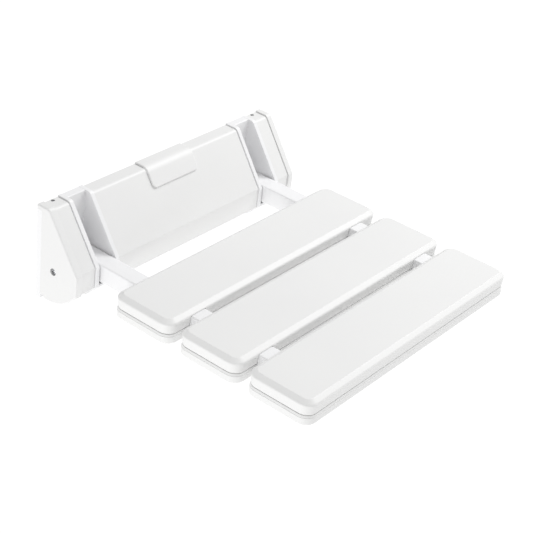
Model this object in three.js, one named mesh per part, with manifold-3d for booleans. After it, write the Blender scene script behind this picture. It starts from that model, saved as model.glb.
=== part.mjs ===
// Wall-mounted folding shower seat, in millimetres.
// The wall is the plane y = 0 and the seat projects towards -y. +z is up and +x is to the
// right of someone who faces the wall. The origin is on the wall, midway along the plate and
// level with the top of the slats.
// Side sections are drawn as [depth from the wall, height] and extruded along x.

import * as THREE from 'three';
import { mergeVertices } from 'three/addons/utils/BufferGeometryUtils.js';
import Module from 'manifold-3d';

const wasm = await Module();
wasm.setup();

// ---------------------------------------------------------------- driving dimensions

const clearance = 0.3; // between pieces that touch
const overrun = 5; // how far a cutter reaches past what it cuts

// Housing section: thin at the top, a slanted face, a short upright face and a round belly.
const housingTop = 51.4;
const housingTopDepth = 16;
const housingDepth = 56;
const kneeHeight = -6.4;
const frontBottom = -29;
const bellyRun = 20; // back from the housing's front
const bellyHeight = -49.6;
const heelDepth = 12;
const housingBottom = -51;
const notchDepth = 8.9;
const notchHeight = -46.6;
const backEdge = 0.5; // tops of the covers and cheeks stop this far from the wall

// Wall plate
const plateThickness = 6.5;
const plateDrop = 1; // below the housing's underside
const plateSetback = 0.3; // plate ends inside the end plates
const plateCorner = 1;
const wallHole = 7;
const wallHoleHead = 13;
const wallHoleOffsets = [-37.6, 25.3]; // outwards from the arm's centre
const wallHoleZ = [28, -34];

// Hinge brackets, one round each arm
const cheekThickness = 4.8;
const webThickness = 2.6;
const floorLength = 16; // stop floor under the arm, back from the housing's front
const floorThickness = 3;
const padThickness = 2;
const padLength = 13;
const padWidth = 16;

// Covers between the cheeks and end plates
const endCoverWidth = 18;
const endPlateThickness = 7.85;
const endPlateWall = 2.5;
const endBossWall = 2; // round the pin's hole, where the boss meets the cheek
const coverWall = 2.5;
const coverSink = 1; // covers sit below the cheeks on the slanted face
const coverEdgeSink = 1.5; // and a little more on the top and the upright face
const coverBrow = 5; // rounding along the covers' top edge
const coverReturn = 9; // lip turned under the upright face
const coverRib = 2;
const coverRibX = 55;

// Clip over the top edge of the centre cover
const clipWidth = 67;
const clipHookWidth = 58; // the hook behind the cover's edge is narrower than the clip
const clipCorner = 5;
const clipReach = 21.5; // down the slanted face
const clipThickness = 1.7;
const clipLeg = 9;
const clipLegThickness = 2.2;
const clipSlotSide = 0.5; // slot past each side of the hook
const clipSlotDepth = 12;
const clipBack = 1.2;

// Pivots
const pivotDepth = 24;
const pinDiameter = 8;
const pinHead = 15;
const pinHeadThickness = 3;
const springWasher = 1.2;
const bushWall = 1.6;
const bushFlange = 16.5;
const bushFlangeThickness = 0.5;
const bushLength = 7;

// Arms
const armWidth = 20;
const armHeight = 20;
const armWall = 2;
const armEndSetback = 12; // from the front of the last slat
const knuckleLength = 34;
const plugDepth = 14;
const plugFlange = 1.6;

// Slats, each an upper and a lower shell
const slatCount = 3;
const slatLength = 326;
const slatWidth = 72;
const slatGap = 9.5;
const slatCorner = 12;
const firstSlatBack = 101.5; // from the wall
const partingDrop = 13.8; // from the slat's top to the upper shell's rim
const partingGap = 0.8;
const partingDraw = 0.9; // both shells draw in by this much where they meet
const topEdgeInset = 5.5;
const topEdgeDrop = 3.4;
const bottomEdgeInset = 2.5;
const grooveDrop = 2.2; // thin line round the lower shell, below the parting
const grooveDepth = 0.5;
const slatWall = 2.5;
const slatCeiling = 3.5;
const slatFloor = 1.8;
const tongueThickness = 1.3;
const tongueHeight = 2.5;
const armInset = 40.35; // from a slat's end to the middle of the arm
const armGap = 0.45; // round each arm where it passes through a slat
const bossDiameter = 12;
const bossOffset = 23.5; // to each side of the arm's centre
const pegDiameter = 6;

// Fasteners: thread diameter, length, head diameter and head height
const bracketScrew = { thread: 6, length: 9, head: 11, height: 2.8 };
const sideScrew = { thread: 4, length: 32, head: 7, height: 2.6 };
const capScrew = { thread: 2.5, length: 9, head: 3.8, height: 1.2 };
const slatScrew = { thread: 4, length: 16, head: 8, height: 2.6 };
const bracketScrewZ = [14, -40];
const holeAllowance = 0.7; // hole diameter over its screw or pin

// Round faces, as straight steps in a full turn
const fineSteps = 20;
const smallSteps = 12;
const cornerSteps = 4;

// ---------------------------------------------------------------- derived places

const plateFace = plateThickness + clearance;
const coverTop = housingTop - coverEdgeSink;
const plateTop = coverTop - coverWall - clearance;
const plateBottom = housingBottom - plateDrop;
const armX = slatLength / 2 - armInset;
const pocketHalf = armWidth / 2 + bushFlangeThickness + 2 * clearance;
const bracketHalf = pocketHalf + cheekThickness;
const endCoverStart = armX + bracketHalf + clearance;
const endPlateStart = endCoverStart + endCoverWidth + clearance;
const housingSide = endPlateStart + endPlateThickness;
const bellyDepth = housingDepth - bellyRun;
const floorStart = housingDepth - floorLength;
const slatPitch = slatWidth + slatGap;
const slatHeight = slatCeiling + armHeight + 2 * armGap + slatFloor;
const pivotHeight = -(slatCeiling + armGap + armHeight / 2);
const armFront = firstSlatBack + (slatCount - 1) * slatPitch + slatWidth - armEndSetback;
const bushOuter = pinDiameter + holeAllowance + 2 * bushWall;
const boltTail = 8; // side screw's grip in the pin's end
const slatFloorTop = -slatHeight + slatFloor;
const padTop = pivotHeight - armHeight / 2 - clearance;

// ---------------------------------------------------------------- helpers

// A closed outline whose corners are [u, v, cut]; each corner is rounded over its cut length,
// as far as the sides beside it leave room.
function roundedShape(corners) {
  const shape = new THREE.Shape();
  const room = (side, otherCut) => Math.max(side / 2, side - otherCut) * 0.98;
  corners.forEach(([u, v, wanted = 0], i) => {
    const [last, next] = [corners.at(i - 1), corners[(i + 1) % corners.length]];
    const corner = new THREE.Vector2(u, v);
    const before = new THREE.Vector2(last[0], last[1]).sub(corner);
    const after = new THREE.Vector2(next[0], next[1]).sub(corner);
    const cut = Math.min(
      wanted, room(before.length(), last[2] ?? 0), room(after.length(), next[2] ?? 0),
    );
    const start = corner.clone().add(before.setLength(cut));
    const end = corner.clone().add(after.setLength(cut));
    if (i === 0) shape.moveTo(start.x, start.y);
    else shape.lineTo(start.x, start.y);
    if (cut > 0) shape.quadraticCurveTo(u, v, end.x, end.y);
  });
  shape.closePath();
  return shape;
}

function roundedRectangle(width, height, cut) {
  const [u, v] = [width / 2, height / 2];
  return roundedShape([[-u, -v, cut], [u, -v, cut], [u, v, cut], [-u, v, cut]]);
}

// Moves an open path sideways, to its right-hand side for a positive distance.
function offsetPath(points, distance) {
  const path = points.map(([u, v]) => new THREE.Vector2(u, v));
  const lines = path.slice(1).map((end, i) => {
    const along = end.clone().sub(path[i]).normalize();
    const aside = new THREE.Vector2(along.y, -along.x).multiplyScalar(distance);
    return { start: path[i].clone().add(aside), end: end.clone().add(aside), along };
  });
  return path.map((_, i) => {
    if (i === 0) return lines[0].start.toArray();
    if (i === path.length - 1) return lines.at(-1).end.toArray();
    const [a, b] = [lines[i - 1], lines[i]];
    const between = b.start.clone().sub(a.start);
    const reach = between.cross(b.along) / a.along.cross(b.along);
    return a.start.clone().addScaledVector(a.along, reach).toArray();
  });
}

// The strip between two offsets of a path. Each bend is rounded over its own cut length.
function bandShape(path, near, far, cuts) {
  const strip = (distance) => offsetPath(path, distance).map((point, i) => [...point, cuts[i] ?? 0]);
  return roundedShape([...strip(near), ...strip(far).reverse()]);
}

function extrude(shape, depth) {
  return new THREE.ExtrudeGeometry(shape, { depth, bevelEnabled: false, curveSegments: cornerSteps });
}

// A [depth, height] section extruded along x from one x to another, in the object's frame.
function sideExtrude(shape, fromX, toX) {
  const geometry = extrude(shape, toX - fromX);
  geometry.rotateZ(-Math.PI / 2);
  geometry.rotateY(-Math.PI / 2);
  return geometry.translate(toX, 0, 0);
}

// A box between two corners, given as [x, depth, height].
function block([x0, d0, z0], [x1, d1, z1]) {
  const box = new THREE.BoxGeometry(x1 - x0, d1 - d0, z1 - z0);
  return box.translate((x0 + x1) / 2, -(d0 + d1) / 2, (z0 + z1) / 2);
}

// A cylinder along one axis, centred on a point given as [x, depth, height].
function rod(axis, diameter, length, [x, depth, z], steps = fineSteps) {
  const cylinder = new THREE.CylinderGeometry(diameter / 2, diameter / 2, length, steps);
  if (axis === 'x') cylinder.rotateZ(-Math.PI / 2);
  if (axis === 'z') cylinder.rotateX(Math.PI / 2);
  return cylinder.translate(x, -depth, z);
}

// A countersink that opens towards -y at a depth from the wall.
function countersink(head, thread, [x, depth, z]) {
  const height = (head - thread) / 2;
  const cone = new THREE.CylinderGeometry(thread / 2, head / 2 + overrun, height + overrun, smallSteps);
  return cone.translate(x, -depth + (height - overrun) / 2, z);
}

// A turned piece about y. Its profile is [radius, y] and starts and ends on the axis,
// or closes on itself when the piece is a ring.
function turned(profile, steps = fineSteps) {
  return new THREE.LatheGeometry(profile.map(([r, y]) => new THREE.Vector2(r, y)), steps);
}

function toSolid(geometry) {
  const bare = geometry.clone();
  bare.deleteAttribute('normal');
  bare.deleteAttribute('uv');
  const merged = mergeVertices(bare, 1e-4);
  return new wasm.Manifold(new wasm.Mesh({
    numProp: 3,
    vertProperties: new Float32Array(merged.attributes.position.array),
    triVerts: new Uint32Array(merged.index.array),
  }));
}

function toGeometry(solid) {
  const mesh = solid.getMesh();
  const geometry = new THREE.BufferGeometry();
  geometry.setAttribute('position', new THREE.BufferAttribute(mesh.vertProperties, 3));
  geometry.setIndex(new THREE.BufferAttribute(mesh.triVerts, 1));
  geometry.computeVertexNormals();
  return geometry;
}

// Joins the solid geometries, then cuts the cutters away.
function carve(solids, cutters = []) {
  const joined = solids.map(toSolid).reduce((all, next) => all.add(next));
  return toGeometry(cutters.map(toSolid).reduce((left, cutter) => left.subtract(cutter), joined));
}

// ---------------------------------------------------------------- finishes

const finishes = {
  whiteAbs: { color: 0xf4f4f4, roughness: 0.38, metalness: 0 },
  whiteCoatedAluminium: { color: 0xf1f1f2, roughness: 0.45, metalness: 0 },
  stainlessSteel: { color: 0xb9bbbd, roughness: 0.3, metalness: 1 },
  acetal: { color: 0xe6e4dc, roughness: 0.5, metalness: 0 },
  rubber: { color: 0x8c8c8c, roughness: 0.85, metalness: 0 },
};

function piece(name, geometry, finish, [x, depth, z] = [0, 0, 0]) {
  const mesh = new THREE.Mesh(geometry, new THREE.MeshStandardMaterial(finishes[finish]));
  mesh.name = name;
  mesh.position.set(x, -depth, z);
  return mesh;
}

// ---------------------------------------------------------------- housing section

const frontPath = [
  [backEdge, housingTop], [housingTopDepth, housingTop], [housingDepth, kneeHeight],
  [housingDepth, frontBottom], [bellyDepth, bellyHeight],
];

function housingOutline(inset = 0) {
  const [top, brow, knee, chin, belly] = offsetPath(frontPath, inset);
  return roundedShape([
    top, [...brow, 3], [...knee, 4], [...chin, 3], [...belly, 20],
    [heelDepth, housingBottom + inset, 2], [notchDepth, notchHeight + inset, 1],
    [plateFace + inset, notchHeight + inset],
    [plateFace + inset, plateTop + clearance], [backEdge, plateTop + clearance],
  ]);
}

// The covers' outer faces, sunk below the cheeks, down to the lip under the upright face.
function coverPath() {
  const [top, brow, knee, chin, belly] = offsetPath(frontPath, coverSink);
  const sink = coverEdgeSink - coverSink;
  const slope = (knee[0] - brow[0]) / (brow[1] - knee[1]);
  const lip = new THREE.Vector2(belly[0] - chin[0], belly[1] - chin[1]).setLength(coverReturn);
  return [
    [top[0], top[1] - sink], [brow[0] + slope * sink, brow[1] - sink],
    [knee[0] - sink, knee[1] + sink / slope], [chin[0] - sink, chin[1]],
    [chin[0] - sink + lip.x, chin[1] + lip.y],
  ];
}

// ---------------------------------------------------------------- wall side

function wallPlate() {
  const [half, height] = [housingSide - plateSetback, plateTop - plateBottom];
  const sheet = extrude(roundedRectangle(2 * half, height, plateCorner), plateThickness);
  sheet.rotateX(Math.PI / 2).translate(0, 0, (plateTop + plateBottom) / 2);
  const middle = plateThickness / 2;
  const cutters = [];
  for (const side of [-1, 1]) {
    for (const offset of wallHoleOffsets) {
      for (const z of wallHoleZ) {
        const x = side * (armX + offset);
        cutters.push(rod('y', wallHole, plateThickness + overrun, [x, middle, z], smallSteps));
        cutters.push(countersink(wallHoleHead, wallHole, [x, plateThickness, z]));
      }
    }
    for (const z of bracketScrewZ) {
      const diameter = bracketScrew.thread + holeAllowance;
      const at = [side * armX, middle, z];
      cutters.push(rod('y', diameter, plateThickness + overrun, at, smallSteps));
    }
    const capHole = [side * capScrewX, middle, plateTop];
    cutters.push(rod('z', capScrew.thread + holeAllowance, 2 * capScrew.length, capHole, smallSteps));
  }
  return carve([sheet], cutters);
}

// Centre of each end cover, where its screw goes down into the plate's top edge.
const capScrewX = endCoverStart + endCoverWidth / 2;

function hingeBracket() {
  const outline = housingOutline();
  const cheeks = [-1, 1].map((side) => {
    const [inner, outer] = [side * pocketHalf, side * bracketHalf];
    return sideExtrude(outline, Math.min(inner, outer), Math.max(inner, outer));
  });
  const bite = pocketHalf + cheekThickness / 2; // webs run into the cheeks
  const webFace = plateFace + webThickness;
  const web = block([-bite, plateFace, notchHeight], [bite, webFace, housingTop]);
  const crown = block([-bite, backEdge, plateTop + clearance], [bite, webFace, housingTop]);
  const floorTop = padTop - padThickness - clearance;
  const floor = block([-bite, floorStart, floorTop - floorThickness], [bite, housingDepth, floorTop]);
  const pinHole = rod('x', pinDiameter + holeAllowance, 2 * housingDepth, [0, pivotDepth, pivotHeight]);
  const screwHoles = bracketScrewZ.flatMap((z) => [
    rod('y', bracketScrew.thread + holeAllowance, 2 * webFace, [0, webFace, z], smallSteps),
    countersink(bracketScrew.head + 2 * holeAllowance, bracketScrew.thread, [0, webFace, z]),
  ]);
  return carve([...cheeks, web, crown, floor], [pinHole, ...screwHoles]);
}

// The cap on each end of the housing. side is -1 for the left and 1 for the right.
function endPlate(side) {
  const [outer, inner] = [housingSide, endPlateStart];
  const span = (from, to) => (side > 0 ? [from, to] : [-to, -from]);
  const solid = sideExtrude(housingOutline(), ...span(inner, outer));
  const hollow = sideExtrude(housingOutline(endPlateWall), ...span(inner - overrun, outer - endPlateWall));
  const bossLength = outer - endPlateWall / 2 - endCoverStart;
  const bossCentre = [side * (endCoverStart + bossLength / 2), pivotDepth, pivotHeight];
  const boss = rod('x', pinDiameter + holeAllowance + 2 * endBossWall, bossLength, bossCentre);
  const bore = rod('x', sideScrew.thread + holeAllowance, 4 * endPlateThickness * overrun, bossCentre);
  const seat = screwSeat(sideScrew);
  seat.rotateZ(side > 0 ? Math.PI / 2 : -Math.PI / 2);
  seat.translate(side * outer, -pivotDepth, pivotHeight);
  const shell = toGeometry(toSolid(solid).subtract(toSolid(hollow)));
  return carve([shell, boss], [bore, seat]);
}

// The round pocket that a screw's head drops into; its mouth is at y = 0 and it goes up y.
function screwSeat(screw) {
  const radius = (screw.head + holeAllowance) / 2;
  const depth = screw.height + clearance;
  return new THREE.CylinderGeometry(radius, radius, depth + overrun, smallSteps)
    .translate(0, (depth - overrun) / 2, 0);
}

function coverBand(fromX, toX) {
  return sideExtrude(bandShape(coverPath(), 0, coverWall, [0, coverBrow, 3, 2]), fromX, toX);
}

function endCover(side) {
  const [from, to] = [endCoverStart, endCoverStart + endCoverWidth];
  const band = side > 0 ? coverBand(from, to) : coverBand(-to, -from);
  const hole = capScrew.thread + holeAllowance;
  const at = [side * capScrewX, plateThickness / 2, coverTop];
  const recess = rod('z', capScrew.head + holeAllowance, 2 * (capScrew.height + clearance), at);
  return carve([band], [rod('z', hole, 4 * coverWall, at, smallSteps), recess]);
}

function centreCover() {
  const half = armX - bracketHalf - clearance;
  const band = coverBand(-half, half);
  const inside = offsetPath(coverPath(), coverWall / 2);
  const ribBack = plateFace + coverWall;
  const ribs = [-coverRibX, coverRibX].map((x) => {
    const ribShape = roundedShape([
      [ribBack, inside[0][1]], inside[1], inside[2], inside[3], inside[4], [ribBack, inside[4][1]],
    ]);
    return sideExtrude(ribShape, x - coverRib / 2, x + coverRib / 2);
  });
  const slotHalf = clipHookWidth / 2 + clipSlotSide;
  const slotFloor = coverTop - coverWall;
  const slot = block([-slotHalf, -overrun, slotFloor - 1], [slotHalf, clipSlotDepth, housingTop + overrun]);
  return carve([band, ...ribs], [slot]);
}

// The clip hooks over the centre cover's top edge and lies down its slanted face.
function coverClip() {
  const [, brow, knee] = coverPath();
  const run = new THREE.Vector2(knee[0] - brow[0], knee[1] - brow[1]);
  const foot = run.clone().setLength(clipReach).add(new THREE.Vector2(...brow));
  const path = [[clipBack, brow[1]], brow, foot.toArray()];
  const strap = bandShape(path, -clearance, -clearance - clipThickness, [0, coverBrow]);
  const legFace = plateFace + clipLegThickness;
  const hook = bandShape(
    [[legFace, brow[1] - clipLeg], [legFace, brow[1] + clipThickness]],
    clearance, clearance - clipLegThickness, [],
  );
  const half = clipWidth / 2;
  const body = [
    sideExtrude(strap, -half, half), sideExtrude(hook, -clipHookWidth / 2, clipHookWidth / 2),
  ];
  const face = extrude(roundedRectangle(clipWidth, 4 * clipReach, clipCorner), 4 * clipReach);
  face.translate(0, 2 * clipReach, -2 * clipReach);
  face.rotateX(Math.PI / 2 - Math.atan2(run.x, -run.y));
  face.translate(0, -foot.x, foot.y);
  return toGeometry(toSolid(carve(body)).intersect(toSolid(face)));
}

// ---------------------------------------------------------------- pins, bushes and screws

// A screw along y: the head's top is at y = 0 and the thread runs towards +y.
function screw({ thread, length, head, height }, flat = false) {
  const [r, headR] = [thread / 2, head / 2];
  const under = flat ? [[headR, height - (headR - r)]] : [[headR, height]];
  const body = turned([[0, 0], [headR, 0], ...under, [r, height], [r, length], [0, length]], smallSteps);
  const slotWidth = thread * 0.22;
  const slots = [[head * 0.6, slotWidth], [slotWidth, head * 0.6]].map(([x, z]) => {
    return new THREE.BoxGeometry(x, height, z);
  });
  return carve([body], [carve(slots)]);
}

// A pin along y: its head is at the low end and its tapped end is flush with the far cheek.
function pivotPin() {
  const [r, headR, tap] = [pinDiameter / 2, pinHead / 2, (sideScrew.thread + holeAllowance) / 2];
  const shoulder = -(bracketHalf + springWasher + 2 * clearance);
  const headEnd = shoulder - pinHeadThickness;
  return turned([
    [0, headEnd], [headR, headEnd], [headR, shoulder], [r, shoulder], [r, bracketHalf],
    [tap, bracketHalf], [tap, bracketHalf - boltTail - 2], [0, bracketHalf - boltTail - 2],
  ]);
}

// A coned spring washer between the pin's head and the inner cheek.
function pivotSpring() {
  const [bore, rim] = [(pinDiameter + holeAllowance) / 2, pinHead / 2];
  const lift = springWasher / 2;
  return turned([
    [bore, 0], [rim, lift], [rim, springWasher], [bore, springWasher - lift], [bore, 0],
  ]);
}

// A flanged bush along y: the flange is at the low end, outside the arm.
function pivotBush() {
  const [bore, outer, flange] = [(pinDiameter + holeAllowance) / 2, bushOuter / 2, bushFlange / 2];
  return turned([
    [bore, -bushFlangeThickness], [flange, -bushFlangeThickness], [flange, 0], [outer, 0],
    [outer, bushLength], [bore, bushLength], [bore, -bushFlangeThickness],
  ]);
}

// ---------------------------------------------------------------- seat side
// Everything here is drawn about the pivot axis: depths run forward from it.

const reach = armFront - pivotDepth;

// Forward distance from the pivot to the back edge of each slat.
const slatBacks = Array.from({ length: slatCount }, (_, i) => {
  return firstSlatBack + i * slatPitch - pivotDepth;
});

// A section that is round behind the pivot and square at the front end.
function heelShape(height, front) {
  const r = height / 2;
  const shape = new THREE.Shape();
  shape.moveTo(front, -r);
  shape.lineTo(front, r);
  shape.lineTo(0, r);
  shape.absarc(0, 0, r, Math.PI / 2, Math.PI * 1.5);
  shape.closePath();
  return shape;
}

function bushHole() {
  return rod('x', bushOuter + holeAllowance, 2 * armWidth, [0, 0, 0]);
}

function arm() {
  const tube = sideExtrude(heelShape(armHeight, reach), -armWidth / 2, armWidth / 2);
  const [u, v] = [armWidth / 2 - armWall, armHeight / 2 - armWall];
  const hollow = block([-u, -armHeight, -v], [u, reach + overrun, v]);
  const pegHoles = slatBacks.map((back) => {
    const at = [0, back + slatWidth / 2, -armHeight / 2];
    return rod('z', pegDiameter + holeAllowance, 3 * armWall, at, smallSteps);
  });
  return carve([tube], [hollow, bushHole(), ...pegHoles]);
}

// The block inside the tube's hinge end that carries the bushes.
function armKnuckle() {
  const width = armWidth - 2 * (armWall + clearance);
  const height = armHeight - 2 * (armWall + clearance);
  const body = sideExtrude(heelShape(height, knuckleLength), -width / 2, width / 2);
  return carve([body], [bushHole()]);
}

function armPlug() {
  const width = armWidth - 2 * (armWall + clearance);
  const height = armHeight - 2 * (armWall + clearance);
  const stem = block([-width / 2, -plugDepth, -height / 2], [width / 2, plugFlange, height / 2]);
  const cap = extrude(roundedRectangle(armWidth, armHeight, 2), plugFlange - clearance);
  cap.rotateX(Math.PI / 2).translate(0, -clearance, 0);
  const wall = 1.8;
  const hollow = block(
    [wall - width / 2, -plugDepth - overrun, wall - height / 2],
    [width / 2 - wall, -wall, height / 2 - wall],
  );
  return carve([stem, cap], [hollow]);
}

// One ring of a slat shell: a rounded rectangle pulled in by inset, at a height.
function slatRing([inset, z]) {
  const radius = Math.max(slatCorner - inset, 1);
  const [x, y] = [slatLength / 2 - inset - radius, slatWidth / 2 - inset - radius];
  const centres = [[x, y], [-x, y], [-x, -y], [x, -y]];
  return centres.flatMap(([cx, cy], quarter) => {
    return Array.from({ length: cornerSteps + 1 }, (_, i) => {
      const angle = (quarter + i / cornerSteps) * Math.PI / 2;
      return [cx + radius * Math.cos(angle), cy + radius * Math.sin(angle), z];
    });
  });
}

// A closed solid through a list of rings, each as [inset, z]. The first ring's middle is
// capped facing up and the last ring's facing down.
function ringSolid(levels) {
  const rings = levels.map(slatRing);
  const count = rings[0].length;
  const positions = rings.flat(2);
  const [first, last] = [rings.length * count, rings.length * count + 1];
  positions.push(0, 0, levels[0][1], 0, 0, levels.at(-1)[1]);
  const faces = [];
  for (let i = 0; i < count; i++) {
    const j = (i + 1) % count;
    faces.push(first, i, j);
    for (let k = 0; k + 1 < rings.length; k++) {
      const [a, b] = [k * count, (k + 1) * count];
      faces.push(a + i, b + i, b + j, a + i, b + j, a + j);
    }
    const end = (rings.length - 1) * count;
    faces.push(last, end + j, end + i);
  }
  const geometry = new THREE.BufferGeometry();
  geometry.setAttribute('position', new THREE.Float32BufferAttribute(positions, 3));
  geometry.setIndex(faces);
  return geometry;
}

// Where the screws stand in every slat: one on each side of each arm.
const slatScrewX = [-1, 1].flatMap((side) => [side * armX - bossOffset, side * armX + bossOffset]);

// The tunnels that the arms take through a slat; the last slat keeps its front wall whole.
function armTunnels(index) {
  const half = armWidth / 2 + armGap;
  const back = -slatWidth / 2 - overrun;
  const isLast = index === slatCount - 1;
  const front = isLast ? slatWidth / 2 - armEndSetback + plugFlange + 2 * armGap : slatWidth / 2 + overrun;
  const [low, high] = [-slatHeight + slatFloor, -slatCeiling];
  return [-armX, armX].map((x) => block([x - half, back, low], [x + half, front, high]));
}

function slatUpper(index) {
  const rim = -partingDrop;
  const shell = ringSolid([
    [topEdgeInset, 0], [topEdgeInset * 0.35, -topEdgeDrop * 0.35], [0, -topEdgeDrop],
    [partingDraw, rim], [slatWall, rim], [slatWall, -slatCeiling],
  ]);
  const depth = partingDrop - slatCeiling / 2;
  const bosses = slatScrewX.map((x) => rod('z', bossDiameter, depth, [x, 0, rim + depth / 2], smallSteps));
  const bore = slatScrew.thread + holeAllowance;
  const boreLength = 2 * (partingDrop - slatCeiling);
  const bores = slatScrewX.map((x) => rod('z', bore, boreLength, [x, 0, rim], smallSteps));
  return carve([shell, ...bosses], [...armTunnels(index), ...bores]);
}

function slatLower(index) {
  const rim = -(partingDrop + partingGap);
  const groove = rim - grooveDrop;
  const tongueOuter = slatWall + clearance;
  const tongueInner = tongueOuter + tongueThickness;
  const shell = ringSolid([
    [slatWall, slatFloorTop], [slatWall, rim - 3], [tongueInner, rim - 1.5],
    [tongueInner, rim + tongueHeight], [tongueOuter, rim + tongueHeight], [tongueOuter, rim],
    [partingDraw, rim], [0, groove + grooveDepth / 2], [grooveDepth, groove], [0, groove - grooveDepth / 2],
    [0, bottomEdgeInset - slatHeight], [bottomEdgeInset, -slatHeight],
  ]);
  const height = rim - slatFloorTop + slatFloor / 2;
  const bossMiddle = rim - height / 2;
  const bosses = slatScrewX.map((x) => rod('z', bossDiameter, height, [x, 0, bossMiddle], smallSteps));
  const bore = slatScrew.thread + holeAllowance;
  const cutters = slatScrewX.flatMap((x) => {
    const seat = screwSeat(slatScrew).rotateX(Math.PI / 2).translate(x, 0, -slatHeight);
    return [rod('z', bore, 3 * slatHeight, [x, 0, 0], smallSteps), seat];
  });
  const pegHeight = slatFloor / 2 + armGap + armWall;
  const pegZ = slatFloorTop - slatFloor / 2 + pegHeight / 2;
  const pegs = [-armX, armX].map((x) => rod('z', pegDiameter, pegHeight, [x, 0, pegZ], smallSteps));
  const carved = carve([shell, ...bosses], [...armTunnels(index), ...cutters]);
  return carve([carved, ...pegs]);
}

// ---------------------------------------------------------------- assembly

const sides = [['left', -1], ['right', 1]];
const housing = new THREE.Group();
housing.add(piece('wall_plate', wallPlate(), 'whiteCoatedAluminium'));
housing.add(piece('centre_cover', centreCover(), 'whiteAbs'));
housing.add(piece('cover_clip', coverClip(), 'whiteAbs'));

for (const [word, side] of sides) {
  const outwards = side > 0 ? -Math.PI / 2 : Math.PI / 2; // turns +y to point away from the middle
  housing.add(piece(`end_plate_${word}`, endPlate(side), 'whiteAbs'));
  housing.add(piece(`end_cover_${word}`, endCover(side), 'whiteAbs'));

  const hinge = new THREE.Group();
  hinge.position.x = side * armX;
  hinge.add(piece(`hinge_bracket_${word}`, hingeBracket(), 'whiteCoatedAluminium'));
  const pad = extrude(roundedRectangle(padWidth, padLength, 2), padThickness);
  const padAt = [0, housingDepth - floorLength / 2, padTop - padThickness];
  hinge.add(piece(`stop_pad_${word}`, pad, 'rubber', padAt));
  bracketScrewZ.forEach((z, i) => {
    const level = ['upper', 'lower'][i];
    const at = [0, plateFace + webThickness, z];
    hinge.add(piece(`bracket_screw_${level}_${word}`, screw(bracketScrew, true), 'stainlessSteel', at));
  });
  const pin = piece(`pivot_pin_${word}`, pivotPin(), 'stainlessSteel', [0, pivotDepth, pivotHeight]);
  pin.rotation.z = outwards;
  const springAt = [-side * (bracketHalf + clearance + springWasher), pivotDepth, pivotHeight];
  const spring = piece(`pivot_spring_${word}`, pivotSpring(), 'stainlessSteel', springAt);
  spring.rotation.z = outwards;
  hinge.add(pin, spring);
  housing.add(hinge);

  const sideAt = [side * (housingSide - clearance), pivotDepth, pivotHeight];
  const sideBolt = piece(`side_screw_${word}`, screw(sideScrew), 'stainlessSteel', sideAt);
  sideBolt.rotation.z = -outwards;
  const capAt = [side * capScrewX, plateThickness / 2, coverTop - clearance / 2];
  const capBolt = piece(`cap_screw_${word}`, screw(capScrew), 'stainlessSteel', capAt);
  capBolt.rotation.x = -Math.PI / 2;
  housing.add(sideBolt, capBolt);
}

const seat = new THREE.Group();
seat.position.set(0, -pivotDepth, pivotHeight);
for (const [word, side] of sides) {
  const armGroup = new THREE.Group();
  armGroup.position.x = side * armX;
  armGroup.add(piece(`arm_${word}`, arm(), 'whiteCoatedAluminium'));
  armGroup.add(piece(`arm_knuckle_${word}`, armKnuckle(), 'acetal'));
  armGroup.add(piece(`arm_plug_${word}`, armPlug(), 'acetal', [0, reach, 0]));
  for (const [place, way] of [['inner', -side], ['outer', side]]) {
    const bush = piece(`pivot_bush_${place}_${word}`, pivotBush(), 'acetal');
    bush.position.x = way * (armWidth / 2 + clearance);
    bush.rotation.z = way > 0 ? Math.PI / 2 : -Math.PI / 2;
    armGroup.add(bush);
  }
  seat.add(armGroup);
}

['back', 'middle', 'front'].forEach((word, index) => {
  const slat = new THREE.Group();
  slat.position.set(0, -(slatBacks[index] + slatWidth / 2), -pivotHeight);
  slat.add(piece(`slat_upper_${word}`, slatUpper(index), 'whiteAbs'));
  slat.add(piece(`slat_lower_${word}`, slatLower(index), 'whiteAbs'));
  slatScrewX.forEach((x, i) => {
    const at = [x, 0, -slatHeight + clearance / 2];
    const bolt = piece(`slat_screw_${word}_${i + 1}`, screw(slatScrew), 'stainlessSteel', at);
    bolt.rotation.x = Math.PI / 2;
    slat.add(bolt);
  });
  seat.add(slat);
});

const showerSeat = new THREE.Group();
showerSeat.add(housing, seat);

export default showerSeat;
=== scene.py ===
import math

import bmesh
import bpy
import numpy as np
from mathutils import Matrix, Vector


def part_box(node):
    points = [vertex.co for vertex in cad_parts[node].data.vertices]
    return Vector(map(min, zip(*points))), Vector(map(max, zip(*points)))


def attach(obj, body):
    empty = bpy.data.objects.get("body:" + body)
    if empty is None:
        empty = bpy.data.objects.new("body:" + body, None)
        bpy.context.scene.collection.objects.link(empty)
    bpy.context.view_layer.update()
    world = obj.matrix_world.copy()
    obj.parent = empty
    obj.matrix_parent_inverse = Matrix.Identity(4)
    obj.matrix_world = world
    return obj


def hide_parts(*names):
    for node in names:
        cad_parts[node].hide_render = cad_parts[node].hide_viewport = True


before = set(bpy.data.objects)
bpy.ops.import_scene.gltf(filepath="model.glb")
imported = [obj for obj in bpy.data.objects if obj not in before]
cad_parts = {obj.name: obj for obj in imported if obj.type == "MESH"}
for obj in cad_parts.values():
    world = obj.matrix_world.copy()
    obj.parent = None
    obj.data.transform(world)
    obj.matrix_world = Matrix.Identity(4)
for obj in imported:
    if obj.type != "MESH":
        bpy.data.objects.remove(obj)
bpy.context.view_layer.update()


# ---------------------------------------------------------------- wall plate
# A 6.5 mm aluminium plate, cut, drilled and countersunk, then powder-coated white. Eight wall
# screws and four bracket screws go through it. Powder coat melts into a faint orange peel.

MM = 0.001  # sizes below are in millimetres, and depths are measured out from the wall
ARC_STEPS = 9  # points on each rounded corner
EDGE_STEPS = 6  # points on each rounded edge

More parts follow.
